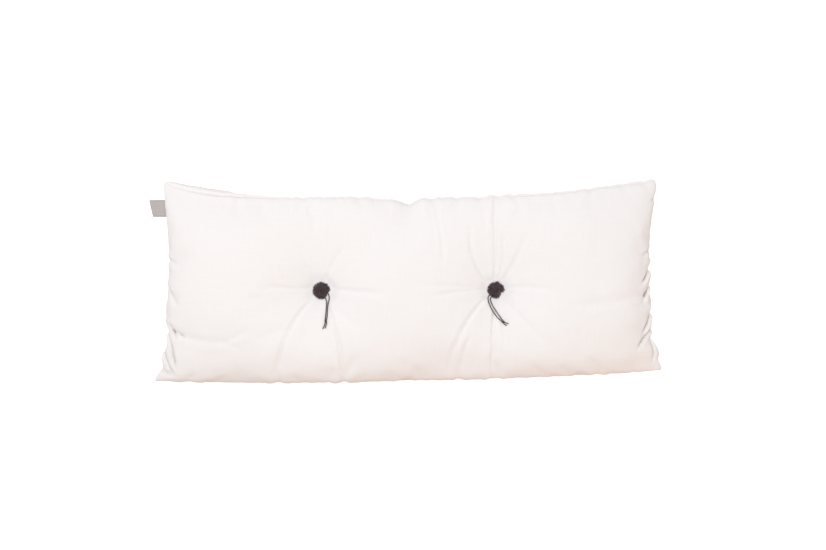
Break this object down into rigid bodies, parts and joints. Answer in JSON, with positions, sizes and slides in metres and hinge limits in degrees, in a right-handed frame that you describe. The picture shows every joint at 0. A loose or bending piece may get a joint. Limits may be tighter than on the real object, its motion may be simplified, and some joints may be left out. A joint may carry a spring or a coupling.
{
  "type": "cushion",
  "caption": "Long filled cotton cushion with a knife-edge seam, drawn in by tied yarn tufts, with a loop label in its side seam.",
  "frame": {"origin": "middle of the bounding box, on the surface that the cushion's back lies on", "axes": "+X along the cushion to the right, +Y towards its top edge, +Z out of its front face"},
  "size_m": [0.9938, 0.3924, 0.1111],
  "materials": {
    "cotton": "plain-woven white cotton, matt",
    "wool": "black wool yarn, matt",
    "string": "dark waxed string, slight sheen",
    "ribbon": "grey woven tape, satin"
  },
  "bodies": {
    "root": {"cushion": "cotton", "tuft_left": "wool", "tuft_right": "wool", "left_tie_a": "string", "left_tie_b": "string", "left_end_a": "string", "left_end_b": "string", "left_knot": "string", "right_tie_a": "string", "right_tie_b": "string", "right_end_a": "string", "right_end_b": "string", "right_knot": "string", "back_stitch_left": "string", "back_stitch_right": "string", "label": "ribbon"}
  },
  "joints": []
}
